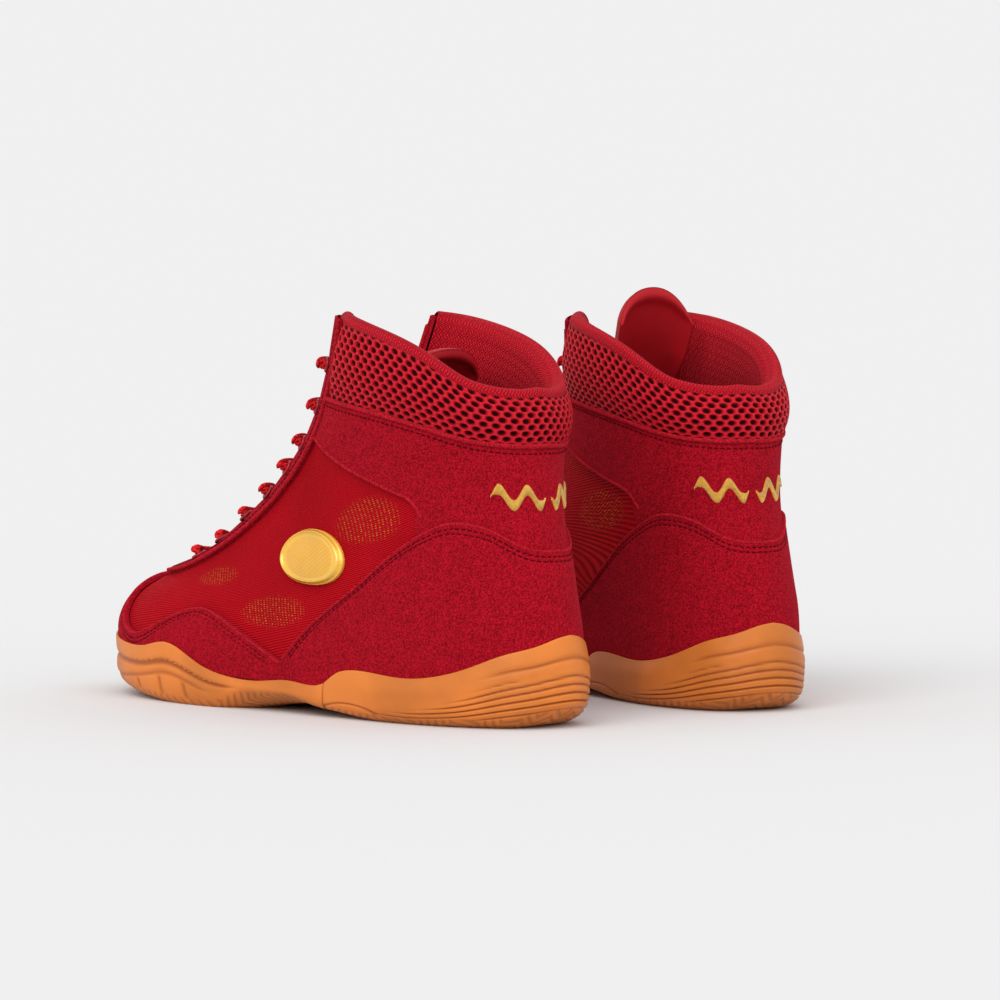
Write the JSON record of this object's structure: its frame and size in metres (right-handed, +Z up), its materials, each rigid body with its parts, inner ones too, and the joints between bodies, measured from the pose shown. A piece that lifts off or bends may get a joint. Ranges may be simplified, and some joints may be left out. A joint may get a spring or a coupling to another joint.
{
  "type": "boxing boots",
  "caption": "Pair of lace-up boxing boots with padded collars, suede and mesh uppers and low gum-rubber cup soles, standing side by side.",
  "frame": {"origin": "on the floor, midway between the two boots and midway along them", "axes": "+X the mean toe direction, +Y the wearer's left, +Z up"},
  "size_m": [0.2899, 0.2676, 0.1835],
  "materials": {
    "gum_rubber": "satin",
    "arch_plate": "matte",
    "midsole_foam": "matte",
    "board": "matte",
    "insole_foam": "matte",
    "stiffener": "matte",
    "suede": "matte",
    "quarter_mesh": "satin",
    "lining": "matte",
    "eyelet": "matte",
    "tongue_fabric": "satin",
    "lace": "matte",
    "lace_tip": "gloss",
    "gold_trim": "satin",
    "gold_thread": "satin",
    "collar_mesh": "matte",
    "collar_foam": "matte",
    "collar_lining": "matte"
  },
  "bodies": {
    "left_boot": {"left_heel_outsole": "gum_rubber", "left_ball_outsole": "gum_rubber", "left_shank": "arch_plate", "left_midsole": "midsole_foam", "left_insole_board": "board", "left_insole": "insole_foam", "left_heel_stiffener": "stiffener", "left_heel_counter": "suede", "left_mesh_lateral": "quarter_mesh", "left_mesh_medial": "quarter_mesh", "left_ankle_band": "suede", "left_quarter_lining": "lining", "left_eyestay_lateral": "suede", "left_eyestay_medial": "suede", "left_eyelets": "eyelet", "left_tongue_lower": "tongue_fabric", "left_lace": "lace", "left_side_emblem": "gold_trim"},
    "left_forefoot": {"left_toe_outsole": "gum_rubber", "left_toe_guard": "suede", "left_toe_puff": "stiffener", "left_vamp_mesh": "quarter_mesh", "left_vamp_lining": "lining"},
    "left_shaft": {"left_collar_mesh": "collar_mesh", "left_collar_foam": "collar_foam", "left_collar_lining": "collar_lining", "left_heel_motif": "gold_thread", "left_aglet": "lace_tip"},
    "left_tongue": {"left_tongue_top": "tongue_fabric"},
    "right_boot": {"right_heel_outsole": "gum_rubber", "right_ball_outsole": "gum_rubber", "right_shank": "arch_plate", "right_midsole": "midsole_foam", "right_insole_board": "board", "right_insole": "insole_foam", "right_heel_stiffener": "stiffener", "right_heel_counter": "suede", "right_mesh_lateral": "quarter_mesh", "right_mesh_medial": "quarter_mesh", "right_ankle_band": "suede", "right_quarter_lining": "lining", "right_eyestay_lateral": "suede", "right_eyestay_medial": "suede", "right_eyelets": "eyelet", "right_tongue_lower": "tongue_fabric", "right_lace": "lace", "right_side_emblem": "gold_trim"},
    "right_forefoot": {"right_toe_outsole": "gum_rubber", "right_toe_guard": "suede", "right_toe_puff": "stiffener", "right_vamp_mesh": "quarter_mesh", "right_vamp_lining": "lining"},
    "right_shaft": {"right_collar_mesh": "collar_mesh", "right_collar_foam": "collar_foam", "right_collar_lining": "collar_lining", "right_heel_motif": "gold_thread", "right_aglet": "lace_tip"},
    "right_tongue": {"right_tongue_top": "tongue_fabric"}
  },
  "joints": [
    {"name": "left_toe_flex", "type": "hinge", "parent": "left_boot", "child": "left_forefoot", "pos_m": [0.0581, 0.08872, 0.009], "axis": [0.1521, -0.9884, 0], "range_deg": [0, 35], "stiffness_Nm_per_rad": 3, "deforming": ["left_ball_outsole", "left_midsole", "left_insole_board", "left_insole", "left_mesh_lateral", "left_mesh_medial", "left_vamp_lining", "left_vamp_mesh", "left_toe_guard", "left_eyestay_lateral", "left_eyestay_medial", "left_tongue_lower", "left_lace"]},
    {"name": "left_ankle_flex", "type": "hinge", "parent": "left_boot", "child": "left_shaft", "pos_m": [-0.07602, 0.06605, 0.082], "axis": [-0.1521, 0.9884, 0], "range_deg": [-14, 14], "stiffness_Nm_per_rad": 1.5, "deforming": ["left_ankle_band", "left_quarter_lining", "left_eyestay_lateral", "left_eyestay_medial", "left_mesh_lateral", "left_mesh_medial", "left_eyelets", "left_tongue_lower", "left_lace"]},
    {"name": "left_tongue_flex", "type": "hinge", "parent": "left_shaft", "child": "left_tongue", "pos_m": [-0.02219, 0.0713, 0.135], "axis": [-0.1521, 0.9884, 0], "range_deg": [-15, 30], "stiffness_Nm_per_rad": 0.12},
    {"name": "right_toe_flex", "type": "hinge", "parent": "right_boot", "child": "right_forefoot", "pos_m": [0.0581, -0.08872, 0.009], "axis": [-0.1521, -0.9884, 0], "range_deg": [0, 35], "stiffness_Nm_per_rad": 3, "deforming": ["right_ball_outsole", "right_midsole", "right_insole_board", "right_insole", "right_mesh_lateral", "right_mesh_medial", "right_vamp_lining", "right_vamp_mesh", "right_toe_guard", "right_eyestay_lateral", "right_eyestay_medial", "right_tongue_lower", "right_lace"]},
    {"name": "right_ankle_flex", "type": "hinge", "parent": "right_boot", "child": "right_shaft", "pos_m": [-0.07602, -0.06605, 0.082], "axis": [0.1521, 0.9884, 0], "range_deg": [-14, 14], "stiffness_Nm_per_rad": 1.5, "deforming": ["right_ankle_band", "right_quarter_lining", "right_eyestay_lateral", "right_eyestay_medial", "right_mesh_lateral", "right_mesh_medial", "right_eyelets", "right_tongue_lower", "right_lace"]},
    {"name": "right_tongue_flex", "type": "hinge", "parent": "right_shaft", "child": "right_tongue", "pos_m": [-0.02219, -0.0713, 0.135], "axis": [0.1521, 0.9884, 0], "range_deg": [-15, 30], "stiffness_Nm_per_rad": 0.12},
    {"name": "right_boot_lift", "type": "slide", "parent": "left_boot", "child": "right_boot", "axis": [0, 0, 1], "range_m": [0, 0.2]}
  ]
}
